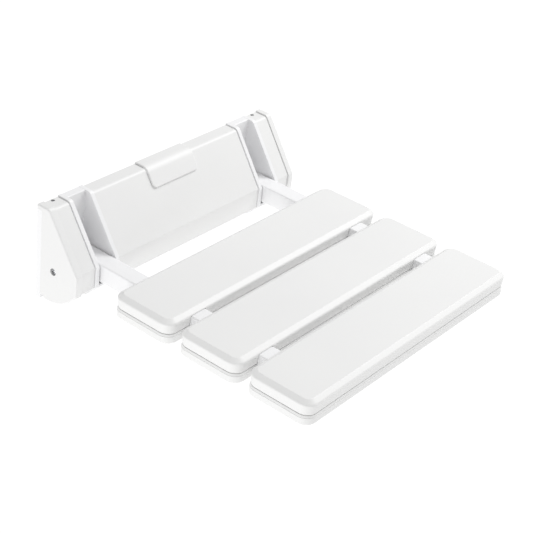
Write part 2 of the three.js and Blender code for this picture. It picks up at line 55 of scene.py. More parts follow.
coated_white = "#F3F3F4"
peel_size = 2.2  # width of one orange-peel dimple; drawn about twice as coarse as real
plate_corner = 1
plate_edge = 0.5
wall_hole = 7
wall_hole_head = 13
wall_hole_offsets = (-37.6, 25.3)  # outwards from the middle of each arm
wall_hole_heights = (28, -34)
bracket_screw_heights = (14, -40)
bracket_screw_hole = 6.7
past = 2  # how far a cutter reaches past the face that it cuts


def box_mm(node):
    """A CAD node's lowest and highest corners in millimetres."""
    return [np.array(corner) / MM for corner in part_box(node)]


def ring(corners, inset=0.0, steps=ARC_STEPS):
    """Points round a closed outline whose corners are (u, v, radius, share).

    Each side moves inwards by inset times the share of the corner that it starts from. Corners
    lie where the moved sides cross, and each is an arc tangent to both of its sides. Its radius
    loses the inset where the outline is convex there, and gains it where it is concave.
    """
    table = np.array([[*c, 1.0][:4] for c in corners], float)
    point, radius, share = table[:, :2], table[:, 2], table[:, 3]
    area = np.sum(point[:, 0] * np.roll(point[:, 1], -1) - np.roll(point[:, 0], -1) * point[:, 1])
    way = np.sign(area)
    along = np.roll(point, -1, 0) - point
    along /= np.linalg.norm(along, axis=1)[:, None]
    inward = np.stack([-along[:, 1], along[:, 0]], 1) * way
    moved = point + inward * (inset * share)[:, None]
    last, last_along = np.roll(moved, 1, 0), np.roll(along, 1, 0)
    cross = last_along[:, 0] * along[:, 1] - last_along[:, 1] * along[:, 0]
    gap = moved - last
    reach = (gap[:, 0] * along[:, 1] - gap[:, 1] * along[:, 0]) / cross
    corner = last + last_along * reach[:, None]
    shift = inset * np.minimum(share, np.roll(share, 1))
    turned_radius = np.where(cross * way > 0, np.maximum(radius - shift, 0.02), radius + shift)
    radius = np.where(radius > 0, turned_radius, 0)
    turn = np.arctan2(cross, np.sum(last_along * along, 1))
    start = corner - last_along * (radius * np.tan(np.abs(turn) / 2))[:, None]
    aside = np.stack([-last_along[:, 1], last_along[:, 0]], 1) * np.sign(turn)[:, None]
    centre = start + aside * radius[:, None]
    spoke = start - centre
    angle = turn[:, None] * np.linspace(0, 1, steps)
    cos, sin = np.cos(angle), np.sin(angle)
    u = centre[:, :1] + spoke[:, :1] * cos - spoke[:, 1:] * sin
    v = centre[:, 1:] + spoke[:, :1] * sin + spoke[:, 1:] * cos
    return np.stack([u, v], -1).reshape(-1, 2)


def grid_faces(rows, columns, closed=True):
    """Four-sided faces over points numbered row by row, joined round the columns if closed."""
    row, column = np.meshgrid(np.arange(rows - 1), np.arange(columns - (not closed)), indexing="ij")
    other = (column + 1) % columns
    low, high = row * columns, (row + 1) * columns
    faces = np.stack([low + column, low + other, high + other, high + column], -1)
    return faces.reshape(-1, 4).tolist()


def solid(name, points, faces):
    """A mesh object from points in millimetres, with doubles merged and faces turned outwards."""
    mesh = bpy.data.meshes.new(name)
    mesh.from_pydata((np.asarray(points) * MM).tolist(), [], faces)
    edit = bmesh.new()
    edit.from_mesh(mesh)
    bmesh.ops.remove_doubles(edit, verts=edit.verts, dist=1e-6)
    bmesh.ops.recalc_face_normals(edit, faces=edit.faces)
    edit.to_mesh(mesh)
    edit.free()
    piece = bpy.data.objects.new(name, mesh)
    bpy.context.scene.collection.objects.link(piece)
    return piece


def bar(name, axis, corners, low, high, edges=(0.0, 0.0), steps=ARC_STEPS):
    """A closed bar of the section ring(corners), from low to high along an axis.

    The section is (depth, height) along x, (x, height) along the depth and (x, depth) along z.
    At each end a quarter circle insets the section: inset = r (1 - sin t), place = r (1 - cos t).
    """
    t = np.linspace(0, math.pi / 2, EDGE_STEPS)
    first, second = edges
    insets = np.concatenate([first * (1 - np.sin(t)), second * (1 - np.sin(t))[::-1]])
    places = np.concatenate([low + first * (1 - np.cos(t)), high - second * (1 - np.cos(t))[::-1]])
    rings = np.stack([ring(corners, inset, steps) for inset in insets])
    u, v = rings[..., 0], rings[..., 1]
    w = np.broadcast_to(places[:, None], u.shape)
    order = {"x": (w, -u, v), "depth": (u, -w, v), "z": (u, -v, w)}[axis]
    rows, columns = u.shape
    ends = [list(range(columns)), list(range((rows - 1) * columns, rows * columns))]
    return solid(name, np.stack(order, -1).reshape(-1, 3), grid_faces(rows, columns) + ends)


def turned(name, axis, profile, centre, way=1, steps=40):
    """A profile of (radius, distance) spun about an axis through centre.

    Point = centre + way x distance along the axis + radius (cos a, sin a) across it. A profile
    that ends off the axis closes on itself as a ring.
    """
    radius, distance = np.array(profile, float).T
    if radius[0] > 0 or radius[-1] > 0:
        radius, distance = np.append(radius, radius[0]), np.append(distance, distance[0])
    angle = np.arange(steps) * 2 * math.pi / steps
    a, b = np.outer(radius, np.cos(angle)), np.outer(radius, np.sin(angle))
    along = np.broadcast_to(way * distance[:, None], a.shape)
    x, depth, z = {"x": (along, a, b), "depth": (a, along, b), "z": (a, b, along)}[axis]
    points = np.stack([x + centre[0], -(depth + centre[1]), z + centre[2]], -1).reshape(-1, 3)
    return solid(name, points, grid_faces(len(radius), steps))


def rectangle(u0, v0, u1, v1, radius=0.3):
    """The four corners of an upright rectangle, each rounded."""
    return [(u0, v0, radius), (u1, v0, radius), (u1, v1, radius), (u0, v1, radius)]


def joined(name, pieces):
    """One object from several, which are removed."""
    edit = bmesh.new()
    for piece in pieces:
        edit.from_mesh(piece.data)
        bpy.data.objects.remove(piece)
    mesh = bpy.data.meshes.new(name)
    edit.to_mesh(mesh)
    edit.free()
    whole = bpy.data.objects.new(name, mesh)
    bpy.context.scene.collection.objects.link(whole)
    return whole


def cut(piece, cutters, operation="DIFFERENCE"):
    """Takes the cutters away from a piece, or adds them with UNION, and removes them."""
    for cutter in cutters:
        step = piece.modifiers.new("cut", "BOOLEAN")
        step.operation = operation
        step.solver = "EXACT"
        step.object = cutter
    bpy.context.view_layer.update()
    graph = bpy.context.evaluated_depsgraph_get()
    mesh = bpy.data.meshes.new_from_object(piece.evaluated_get(graph))
    piece.modifiers.clear()
    piece.data = mesh
    for cutter in cutters:
        bpy.data.objects.remove(cutter)
    return piece


def shade(piece, crease=34):
    """Smooth faces, with edges sharper than the crease angle kept sharp and flats kept flat."""
    mesh = piece.data
    mesh.polygons.foreach_set("use_smooth", np.ones(len(mesh.polygons), bool))
    normals = np.zeros(len(mesh.polygons) * 3)
    mesh.polygons.foreach_get("normal", normals)
    edge = np.zeros(len(mesh.loops), int)
    mesh.loops.foreach_get("edge_index", edge)
    total = np.zeros(len(mesh.polygons), int)
    mesh.polygons.foreach_get("loop_total", total)
    normal = np.repeat(normals.reshape(-1, 3), total, axis=0)
    order = np.argsort(edge, kind="stable")
    pair = np.nonzero(edge[order][1:] == edge[order][:-1])[0]
    cosine = np.sum(normal[order[pair]] * normal[order[pair + 1]], axis=1)
    sharp = np.zeros(len(mesh.edges), bool)
    sharp[edge[order[pair]]] = cosine < math.cos(math.radians(crease))
    mesh.edges.foreach_set("use_edge_sharp", sharp)
    weighted = piece.modifiers.new("weighted normals", "WEIGHTED_NORMAL")
    weighted.keep_sharp = True
    weighted.weight = 80


def fit(piece, material, body, slot, *nodes):
    """Shades and paints a piece, and puts it on its body in place of its CAD nodes."""
    shade(piece)
    piece.data.materials.clear()
    piece.data.materials.append(material)
    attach(piece, body)
    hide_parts(*nodes)
    return piece


def repaint(material, *nodes):
    """Gives CAD nodes that keep their shape a better material."""
    for node in nodes:
        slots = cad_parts[node].data.materials
        slots.clear()
        slots.append(material)


def linear(colour):
    """An sRGB hex colour as linear red, green, blue and alpha."""
    levels = [int(colour[i : i + 2], 16) / 255 for i in (1, 3, 5)]
    return [c / 12.92 if c <= 0.04045 else ((c + 0.055) / 1.055) ** 2.4 for c in levels] + [1.0]


def add(material, kind, settings=None, links=None):
    """Adds a node: settings are its properties or input values, links feed its inputs."""
    tree = material.node_tree
    node = tree.nodes.new(kind)
    for key, value in (settings or {}).items():
        if isinstance(key, str) and hasattr(node, key):
            setattr(node, key, value)
        else:
            node.inputs[key].default_value = value
    for key, socket in (links or {}).items():
        tree.links.new(socket, node.inputs[key])
    return node


def blank(name, shader_settings):
    """A material with only a Principled shader and its output, and Object coordinates."""
    material = bpy.data.materials.new(name)
    material.use_nodes = True
    material.node_tree.nodes.clear()
    shader = add(material, "ShaderNodeBsdfPrincipled", shader_settings)
    add(material, "ShaderNodeOutputMaterial", links={"Surface": shader.outputs["BSDF"]})
    place = add(material, "ShaderNodeTexCoord").outputs["Object"]
    return material, shader, place


# Powder coat: a satin polyester skin over aluminium. Low waves in the gloss, faint tone drift.
coat, coat_shader, place = blank(
    "powder_coated_aluminium", {"Metallic": 0.0, "IOR": 1.5, "Roughness": 0.42}
)
peel = add(coat, "ShaderNodeTexNoise", {"Scale": 1000 / peel_size, "Detail": 2.0}, {"Vector": place})
peel_bump = add(
    coat, "ShaderNodeBump", {"Strength": 0.06, "Distance": 0.00008}, {"Height": peel.outputs["Fac"]}
)
drift = add(coat, "ShaderNodeTexNoise", {"Scale": 14.0, "Detail": 3.0}, {"Vector": place})
coat_tone = add(coat, "ShaderNodeValToRGB", links={"Fac": drift.outputs["Fac"]})
coat_tone.color_ramp.elements[0].color = linear("#EFEFF0")
coat_tone.color_ramp.elements[1].color = linear(coated_white)
coat_gloss = add(
    coat,
    "ShaderNodeMapRange",
    {"To Min": 0.36, "To Max": 0.48},
    {"Value": drift.outputs["Fac"]},
)
coat.node_tree.links.new(coat_tone.outputs["Color"], coat_shader.inputs["Base Color"])
coat.node_tree.links.new(coat_gloss.outputs["Result"], coat_shader.inputs["Roughness"])
coat.node_tree.links.new(peel_bump.outputs["Normal"], coat_shader.inputs["Normal"])

plate_low, plate_high = box_mm("wall_plate")
plate_thick = -plate_low[1]
arm_middle = {
    side: sum(corner[0] for corner in box_mm("arm_" + side)) / 2 for side in ("left", "right")
}
way_out = {"left": -1, "right": 1}  # the x direction that points away from the middle

plate = bar(
    "wall_plate_body",
    "depth",
    rectangle(plate_low[0], plate_low[2], plate_high[0], plate_high[2], plate_corner),
    0,
    plate_thick,
    (plate_edge, plate_edge),
)
holes = []
for side, way in way_out.items():
    for offset in wall_hole_offsets:
        for height in wall_hole_heights:
            sink = (wall_hole_head - wall_hole) / 2
            r, wide = wall_hole / 2, wall_hole_head / 2
            top = plate_thick + past
            cone = [(0, -past), (r, -past), (r, plate_thick - sink), (wide + past, top), (0, top)]
            centre = (arm_middle[side] + way * offset, 0, height)
            holes.append(turned("hole", "depth", cone, centre))
    for height in bracket_screw_heights:
        r = bracket_screw_hole / 2
        hole = [(0, -past), (r, -past), (r, plate_thick + past), (0, plate_thick + past)]
        holes.append(turned("hole", "depth", hole, (arm_middle[side], 0, height), steps=24))
cut(plate, [joined("holes", holes)])
fit(plate, coat, "housing", "coated_aluminium", "wall_plate")


# ---------------------------------------------------------------- hinge brackets
# Two folded and welded aluminium channels, powder-coated with the plate. Each has a cheek on
# both sides of its arm, a back web screwed to the plate, and a stop floor under the arm.

clearance = 0.3
plate_face = plate_thick + clearance
section_back = 0.5
brow = (16, 51.4)
knee = (56, -6.4)
chin = (56, -29)
belly = (36, -49.6)
heel = (12, -51)
notch = (8.9, -46.6)
web_thick = 2.6
cheek_edge = 0.5
floor_length = 16
floor_thick = 3
pin_hole = 8.7
pin_clearance = 0.35  # all round a pin in its hole
cheek_gap = 1.1  # from an arm's side to the cheek
web_below_brow = 0.15


def housing_corners():
    """The side section that brackets and end plates share, as ring() corners."""
    step = plate_high[2] + clearance
    return [
        (section_back, brow[1], 0.1, 1),
        (*brow, 5.5, 1),
        (*knee, 5, 1),
        (*chin, 4.5, 1),
        (*belly, 50, 1),
        (*heel, 3.6, 1),
        (*notch, 1.9, 0),
        (plate_face, notch[1], 0.3, 0),
        (plate_face, step, 0.3, 0),
        (section_back, step, 0.05, 0),
    ]


pin_centre = {}
for side, way in way_out.items():
    low, high = box_mm("hinge_bracket_" + side)
    pin_low, pin_high = box_mm("pivot_pin_" + side)
    pin_depth = -(pin_low[1] + pin_high[1]) / 2
    pin_height = (pin_low[2] + pin_high[2]) / 2
    pad_low, _ = box_mm("stop_pad_" + side)
    middle = arm_middle[side]
    pin_centre[side] = (middle, pin_depth, pin_height)
    arm_low, arm_high = box_mm("arm_" + side)
    half_gap = (arm_high[0] - arm_low[0]) / 2 + cheek_gap
    cheek_edges = (cheek_edge, cheek_edge)
    cheeks = [
        bar("cheek", "x", housing_corners(), low[0], middle - half_gap, cheek_edges),
        bar("cheek", "x", housing_corners(), middle + half_gap, high[0], cheek_edges),
    ]
    wide, r = high[0] - low[0], pin_hole / 2
    bore = [(0, -wide), (r, -wide), (r, wide), (0, wide)]
    cheeks = cut(joined("cheeks", cheeks), [turned("bore", "x", bore, pin_centre[side])])
    inner, outer = middle - half_gap - 0.4, middle + half_gap + 0.4
    web_face, web_top = plate_face + web_thick, brow[1] - web_below_brow
    step = plate_high[2] + clearance
    web_corners = [
        (plate_face, notch[1], 0.3), (web_face, notch[1], 0.3), (web_face, web_top, 1.2),
        (section_back, web_top, 0.5), (section_back, step, 0.3), (plate_face, step, 0.3),
    ]
    web = bar("web", "x", web_corners, inner, outer)
    sinks = []
    r, deep = bracket_screw_hole / 2, 3
    for height in bracket_screw_heights:
        top = web_thick + deep
        cone = [(0, -deep), (r, -deep), (r, web_thick - deep), (r + 2 * deep, top), (0, top)]
        sinks.append(turned("sink", "depth", cone, (middle, plate_face, height)))
    cut(web, [joined("sinks", sinks)])
    floor_top = pad_low[2] - clearance
    floor_low = floor_top - floor_thick
    floor_box = rectangle(chin[0] - floor_length, floor_low, chin[0] - 0.4, floor_top, 0.7)
    stop_floor = bar("floor", "x", floor_box, inner, outer)
    bracket = joined("hinge_bracket_body_" + side, [cheeks, web, stop_floor])
    fit(bracket, coat, "housing", "coated_aluminium", "hinge_bracket_" + side)


# ---------------------------------------------------------------- stop pads
# Grey moulded rubber pads, stuck to the stop floors, on which the arms rest when the seat is
# down. Rubber is dull, with a slight bloom.

pad_corner = 2
pad_edge = 0.5

rubber, rubber_shader, place = blank("moulded_rubber", {"IOR": 1.52, "Roughness": 0.8})
bloom = add(rubber, "ShaderNodeTexNoise", {"Scale": 260.0, "Detail": 4.0}, {"Vector": place})
rubber_tone = add(rubber, "ShaderNodeValToRGB", links={"Fac": bloom.outputs["Fac"]})
rubber_tone.color_ramp.elements[0].color = linear("#7C7D7D")
rubber_tone.color_ramp.elements[1].color = linear("#929392")
rubber_grain = add(
    rubber, "ShaderNodeBump", {"Strength": 0.3, "Distance": 0.0002}, {"Height": bloom.outputs["Fac"]}
)
rubber.node_tree.links.new(rubber_tone.outputs["Color"], rubber_shader.inputs["Base Color"])
rubber.node_tree.links.new(rubber_grain.outputs["Normal"], rubber_shader.inputs["Normal"])

for side in way_out:
    low, high = box_mm("stop_pad_" + side)
    outline = rectangle(low[0], -high[1], high[0], -low[1], pad_corner)
    pad = bar("stop_pad_body_" + side, "z", outline, low[2], high[2], (0.1, pad_edge))
    fit(pad, rubber, "housing", "rubber", "stop_pad_" + side)


# ---------------------------------------------------------------- pins, springs and screws
# Stainless steel: turned pins, coned spring washers and cross-head screws. Turning leaves fine
# rings and a soft grey gleam.

turning_ring = 0.35  # spacing of the tool marks; drawn coarser than the real 0.1 mm
recess_share = 0.62  # length of the cross, as a share of the head
recess_width = 0.2  # width of the cross, as a share of the head
recess_depth = 0.16  # depth of the cross, as a share of the head

steel, steel_shader, place = blank("turned_stainless_steel", {"Metallic": 1.0, "Roughness": 0.3})
marks = add(
    steel, "ShaderNodeTexNoise", {"Scale": 1000 / turning_ring, "Detail": 3.0}, {"Vector": place}
)
steel_tone = add(steel, "ShaderNodeValToRGB", links={"Fac": marks.outputs["Fac"]})
steel_tone.color_ramp.elements[0].color = linear("#A4A5A7")
steel_tone.color_ramp.elements[1].color = linear("#C6C7C9")
steel_gloss = add(
    steel, "ShaderNodeMapRange", {"To Min": 0.24, "To Max": 0.4}, {"Value": marks.outputs["Fac"]}
)
steel_bump = add(
    steel, "ShaderNodeBump", {"Strength": 0.15, "Distance": 0.00005}, {"Height": marks.outputs["Fac"]}
)
steel.node_tree.links.new(steel_tone.outputs["Color"], steel_shader.inputs["Base Color"])
steel.node_tree.links.new(steel_gloss.outputs["Result"], steel_shader.inputs["Roughness"])
steel.node_tree.links.new(steel_bump.outputs["Normal"], steel_shader.inputs["Normal"])


def pan_head(thread, length, head, height):
    """A screw's profile: a domed head from distance 0, a plain shank and a chamfered tip."""
    t = np.linspace(0, math.pi / 2, 7)
    dome = np.stack([head / 2 * np.sin(t), height * 0.7 * (1 - np.cos(t))], 1).tolist()
    tip = [(thread / 2, length - 0.5), (thread / 2 - 0.5, length), (0, length)]
    return dome + [(head / 2, height), (thread / 2, height), *tip]


def flat_head(thread, length, head, height):
    """A countersunk screw's profile: a flat head whose cone narrows at 45 degrees."""
    rim = height - (head - thread) / 2
    tip = [(thread / 2, length - 0.5), (thread / 2 - 0.5, length), (0, length)]
    top = [(0, 0), (head / 2 - 0.15, 0), (head / 2, 0.15), (head / 2, rim)]
    return [*top, (thread / 2, height), *tip]


def cross_screw(name, profile, axis, centre, way):
    """A turned screw with two crossing slots cut into its head. It points along way x axis."""
    screw = turned(name, axis, profile, centre, way, steps=32)
    head = 2 * max(radius for radius, _ in profile)
    half, thin = head * recess_share / 2, head * recess_width / 2
    slots = []
    for long, short in ((half, thin), (thin, half)):
        box = rectangle(-long, -short, long, short, 0.12)
        ends = sorted((-way * 1.0, way * head * recess_depth))
        slot = bar("slot", axis, box, *ends)
        x, depth, z = centre
        slot.data.transform(Matrix.Translation((x * MM, -depth * MM, z * MM)))
        slots.append(slot)
    return cut(screw, slots)


def washer_profile(bore, rim, thick, lift):
    """A coned spring washer's section: a flat bore end and a rim raised by lift."""
    return [(bore, 0), (rim, lift), (rim, thick), (bore, thick - lift)]


screw_sizes = {  # thread, length, head and height of the head
    "side": (4, 32, 7, 2.6),
    "cap": (2.5, 9, 3.8, 1.2),
    "bracket": (6, 9, 11, 2.8),
    "slat": (4, 16, 8, 2.6),
}
pin_head_thick = 3
spring_thick = 1.2
pin_thread = 2.35  # radius of the hole tapped in the pin's outer end for the side screw
pin_thread_deep = 10

for side, way in way_out.items():
    low, high = box_mm("pivot_pin_" + side)
    _, depth, height = pin_centre[side]
    near = high[0] if way < 0 else low[0]  # the head's end, towards the middle
    far = low[0] if way < 0 else high[0]
    length = abs(far - near)
    head = (high[2] - low[2]) / 2
    shank, bevel = pin_hole / 2 - pin_clearance, 0.4
    profile = [
        (0, 0.3), (head - 0.6, 0), (head, 0.6), (head, pin_head_thick - bevel),
        (head - bevel, pin_head_thick), (shank, pin_head_thick), (shank, length - bevel),
        (shank - bevel, length), (pin_thread, length), (pin_thread, length - pin_thread_deep),
        (0, length - pin_thread_deep),
    ]
    pin = turned("pivot_pin_body_" + side, "x", profile, (near, depth, height), way, steps=48)
    fit(pin, steel, "housing", "stainless_steel", "pivot_pin_" + side)

    low, high = box_mm("pivot_spring_" + side)
    near = high[0] if way < 0 else low[0]
    rim = (high[2] - low[2]) / 2
    cone = washer_profile(pin_hole / 2, rim, spring_thick, spring_thick / 2)
    spring = turned("pivot_spring_body_" + side, "x", cone, (near, depth, height), way, steps=48)
    fit(spring, steel, "housing", "stainless_steel", "pivot_spring_" + side)

    low, high = box_mm("side_screw_" + side)
    start = low[0] if way < 0 else high[0]
    centre = (start, depth, height)
    shape = pan_head(*screw_sizes["side"])
    screw = cross_screw("side_screw_body_" + side, shape, "x", centre, -way)
    fit(screw, steel, "housing", "stainless_steel", "side_screw_" + side)

    low, high = box_mm("cap_screw_" + side)
    centre = ((low[0] + high[0]) / 2, -(low[1] + high[1]) / 2, high[2])
    shape = pan_head(*screw_sizes["cap"])
    screw = cross_screw("cap_screw_body_" + side, shape, "z", centre, -1)
    fit(screw, steel, "housing", "stainless_steel", "cap_screw_" + side)

    for level, height in zip(("upper", "lower"), bracket_screw_heights):
        node = f"bracket_screw_{level}_{side}"
        low, high = box_mm(node)
        centre = (arm_middle[side], -low[1], height)
        shape = flat_head(*screw_sizes["bracket"])
        screw = cross_screw(node + "_body", shape, "depth", centre, -1)
        fit(screw, steel, "housing", "stainless_steel", node)


# ---------------------------------------------------------------- bushes, knuckles and plugs
# Turned and moulded acetal, a waxy off-white bearing plastic: flanged bushes on the pins, the
# blocks that hold them inside the tubes, and the plugs in the tubes' front ends.

bush_wall = 1.6
bush_flange_thick = 0.5

acetal, acetal_shader, place = blank(
    "acetal", {"IOR": 1.48, "Roughness": 0.4, "Subsurface Weight": 0.1, "Subsurface Scale": 0.001}
)
wax = add(acetal, "ShaderNodeTexNoise", {"Scale": 90.0, "Detail": 3.0}, {"Vector": place})
acetal_tone = add(acetal, "ShaderNodeValToRGB", links={"Fac": wax.outputs["Fac"]})
acetal_tone.color_ramp.elements[0].color = linear("#DEDCD3")
acetal_tone.color_ramp.elements[1].color = linear("#E8E6DE")
acetal_gloss = add(
    acetal, "ShaderNodeMapRange", {"To Min": 0.34, "To Max": 0.46}, {"Value": wax.outputs["Fac"]}
)
acetal.node_tree.links.new(acetal_tone.outputs["Color"], acetal_shader.inputs["Base Color"])
acetal.node_tree.links.new(acetal_gloss.outputs["Result"], acetal_shader.inputs["Roughness"])

for side in way_out:
    for place_word in ("inner", "outer"):
        node = f"pivot_bush_{place_word}_{side}"
        low, high = box_mm(node)
        outwards = 1 if (low[0] + high[0]) / 2 > arm_middle[side] else -1
        face = high[0] if outwards > 0 else low[0]
        bore, rim = pin_hole / 2, (high[2] - low[2]) / 2
        outer = bore + bush_wall
        profile = [
            (bore, 0), (rim - 0.2, 0), (rim, 0.15), (rim, bush_flange_thick),
            (outer, bush_flange_thick), (outer, high[0] - low[0]), (bore, high[0] - low[0]),
        ]
        _, depth, height = pin_centre[side]
        bush = turned(node + "_body", "x", profile, (face, depth, height), -outwards, steps=48)
        fit(bush, acetal, "seat", "acetal", node)
    repaint(acetal, "arm_knuckle_" + side, "arm_plug_" + side)


# ---------------------------------------------------------------- arms
# Two lengths of 20 mm square aluminium tube, powder-coated white. The hinge end is rounded about
# the pin so that it clears the bracket, and the front end stays inside the last slat.

arm_edge = 1.5

for side in way_out:
    low, high = box_mm("arm_" + side)
    back, front = -high[1], -low[1]
    heel_radius = (high[2] - low[2]) / 2 - 0.01
    outline = [
        (back, low[2], heel_radius), (front, low[2], 0.3),
        (front, high[2], 0.3), (back, high[2], heel_radius),
    ]
    arm = bar("arm_tube_" + side, "x", outline, low[0], high[0], (arm_edge, arm_edge), steps=17)
    fit(arm, coat, "seat", "coated_aluminium", "arm_" + side)


# ---------------------------------------------------------------- slats
# Three hollow slats, each an upper and a lower shell of white ABS, injection moulded with a fine
# satin grain and screwed together from below round the arms. A tongue spans the dark parting.

abs_white = "#ECECEB"
grain_size = 1.4  # one dimple of the spark-eroded grain; drawn coarser than the real 0.2 mm
slat_corner = 12
chamfer_inset = 5.54
chamfer_drop = 3.37
slat_wall = 2.5
ceiling = 3.5
base = 1.8
tongue = (1.3, 2.5)  # thickness and height above the lower rim
groove_drop = 2.2
groove_deep = 0.6
rim_bevel = 0.9  # both shells draw in by this much at the parting
groove_wide = 0.5
bottom_edge = 2.5
tunnel_gap = 0.45
screw_seat = 4.35
screw_seat_deep = 2.9
boss_bore = 2.35
tunnel_front = 2.5  # the tunnels in the front slat stop this far past the arms
ceiling_inset = 14  # the flat top starts inside this, well clear of the rounded edge

# ABS: a hard satin plastic. The grain breaks up its gloss, and the tone drifts very slightly.
plastic, plastic_shader, place = blank("moulded_abs", {"IOR": 1.52, "Roughness": 0.42})
grain = add(
    plastic, "ShaderNodeTexNoise", {"Scale": 1000 / grain_size, "Detail": 2.0}, {"Vector": place}
)
grain_bump = add(
    plastic,
    "ShaderNodeBump",
    {"Strength": 0.025, "Distance": 0.00004},
    {"Height": grain.outputs["Fac"]},
)
flow_settings = {"Scale": 9.0, "Detail": 3.0, "Distortion": 0.4}
flow = add(plastic, "ShaderNodeTexNoise", flow_settings, {"Vector": place})
plastic_tone = add(plastic, "ShaderNodeValToRGB", links={"Fac": flow.outputs["Fac"]})
plastic_tone.color_ramp.elements[0].color = linear("#E8E8E8")
plastic_tone.color_ramp.elements[1].color = linear(abs_white)
plastic_gloss = add(
    plastic, "ShaderNodeMapRange", {"To Min": 0.38, "To Max": 0.48}, {"Value": flow.outputs["Fac"]}
)
plastic.node_tree.links.new(plastic_tone.outputs["Color"], plastic_shader.inputs["Base Color"])
plastic.node_tree.links.new(plastic_gloss.outputs["Result"], plastic_shader.inputs["Roughness"])
plastic.node_tree.links.new(grain_bump.outputs["Normal"], plastic_shader.inputs["Normal"])


def open_path(corners, steps=5):
    """Points along an open path of (u, v, radius) corners, each rounded by an arc."""
    points = ring([*corners], 0.0, steps).reshape(len(corners), steps, 2)
    middle = points[1:-1].reshape(-1, 2)
    return np.concatenate([[corners[0][:2]], middle, [corners[-1][:2]]])


def slat_shell(name, low, high, profile):
    """A shell whose profile of (inset, height) is carried round a rounded rectangle.

    At each inset the plan is the rectangle less the inset, and its corner radius is the full
    radius less the inset, but never under 1 mm. Flat faces close its first and last rings.
    """
    x, y = (high[0] - low[0]) / 2, (high[1] - low[1]) / 2
    centre_x, centre_y = (high[0] + low[0]) / 2, (high[1] + low[1]) / 2
    radius = np.maximum(slat_corner - profile[:, 0], 1)[:, None, None]
    inset = profile[:, 0][:, None, None]
    quarter = np.array([[1, 1], [-1, 1], [-1, -1], [1, -1]])[None, :, None, :]
    angle = (np.arange(4)[:, None] + np.linspace(0, 1, 12)) * math.pi / 2
    px = (x - inset - radius) * quarter[..., 0] + radius * np.cos(angle)
    py = (y - inset - radius) * quarter[..., 1] + radius * np.sin(angle)
    rows = len(profile)
    pz = np.broadcast_to(profile[:, 1][:, None, None], px.shape)
    points = np.stack([px + centre_x, py + centre_y, pz], -1).reshape(-1, 3)
    columns = len(points) // rows
    ends = [list(range(columns)), list(range((rows - 1) * columns, rows * columns))]
    return solid(name, points, grid_faces(rows, columns) + ends)


for word in ("back", "middle", "front"):
    upper_low, upper_high = box_mm("slat_upper_" + word)
    lower_low, lower_high = box_mm("slat_lower_" + word)
    top, rim = upper_high[2], upper_low[2]
    bottom, lower_rim = lower_low[2], lower_high[2] - tongue[1]
    upper_profile = open_path([
        (ceiling_inset, top, 0), (chamfer_inset, top, 1.5),
        (0, top - chamfer_drop, 2.6), (rim_bevel, rim, 0.2),
        (slat_wall, rim, 0.3), (slat_wall, top - ceiling, 0.5), (9, top - ceiling, 0),
    ])
    inner_tongue = slat_wall + clearance + tongue[0]
    groove = lower_rim - groove_drop
    lower_profile = open_path([
        (9, bottom + base, 0), (slat_wall, bottom + base, 0.5), (slat_wall, lower_rim - 3, 0.3),
        (inner_tongue, lower_rim - 1.5, 0.3), (inner_tongue, lower_rim + tongue[1], 0.3),
        (slat_wall + clearance, lower_rim + tongue[1], 0.3), (slat_wall + clearance, lower_rim, 0.1),
        (rim_bevel, lower_rim, 0.15), (0.1, groove + groove_wide / 2, 0.12),
        (groove_deep, groove, 0.08),
        (0, groove - groove_wide / 2, 0.12), (0.1, bottom + bottom_edge, 2.2),
        (bottom_edge, bottom, 1.6), (9, bottom, 0),
    ])
    upper = slat_shell("slat_top_" + word, upper_low, upper_high, upper_profile)
    lower = slat_shell("slat_base_" + word, lower_low, lower_high, lower_profile)
    for shell, node in ((upper, "slat_upper_" + word), (lower, "slat_lower_" + word)):
        cutters = []
        for side in way_out:
            arm_low, arm_high = box_mm("arm_" + side)
            section = rectangle(
                arm_low[0] - tunnel_gap, bottom + base, arm_high[0] + tunnel_gap, top - ceiling, 1.2,
            )
            back = -upper_high[1] - past
            front = min(-upper_low[1] + past, -arm_low[1] + tunnel_front)
            cutters.append(bar("tunnel", "depth", section, back, front))
        if shell is lower:
            for index in range(1, 5):
                low, high = box_mm(f"slat_screw_{word}_{index}")
                centre = ((low[0] + high[0]) / 2, -(low[1] + high[1]) / 2, bottom)
                seat = [
                    (0, -past), (screw_seat, -past), (screw_seat, screw_seat_deep),
                    (boss_bore, screw_seat_deep), (boss_bore, 6), (0, 6),
                ]
                cutters.append(turned("seat", "z", seat, centre, steps=32))
        cut(shell, [joined("cutters", cutters)])
        fit(shell, plastic, "seat", "white_abs", node)
    for index in range(1, 5):
        node = f"slat_screw_{word}_{index}"
        low, high = box_mm(node)
        centre = ((low[0] + high[0]) / 2, -(low[1] + high[1]) / 2, low[2])
        shape = pan_head(*screw_sizes["slat"])
        screw = cross_screw(node + "_body", shape, "z", centre, 1)
        fit(screw, steel, "seat", "stainless_steel", node)


# ---------------------------------------------------------------- covers
# Moulded ABS strips that snap over the front of the housing between the cheeks and end plates:
# one long centre cover with two ribs inside, and two short end covers with a screw in the top.

cover_wall = 2.5
face_sink = 1.0  # below the cheeks on the slanted face
edge_sink = 1.5  # and on the top and the upright face
cover_lip = 9
rib_thick = 2
rib_places = (-55, 55)
cover_edge = 0.35
clip_slot_deep = 12
clip_slot_side = 0.5
clip_hook = 58  # width of the hook behind the cover's edge
cap_seat = (2.25, 1.6, 1.5)  # radius of the seat, radius of the hole under it, depth of the seat


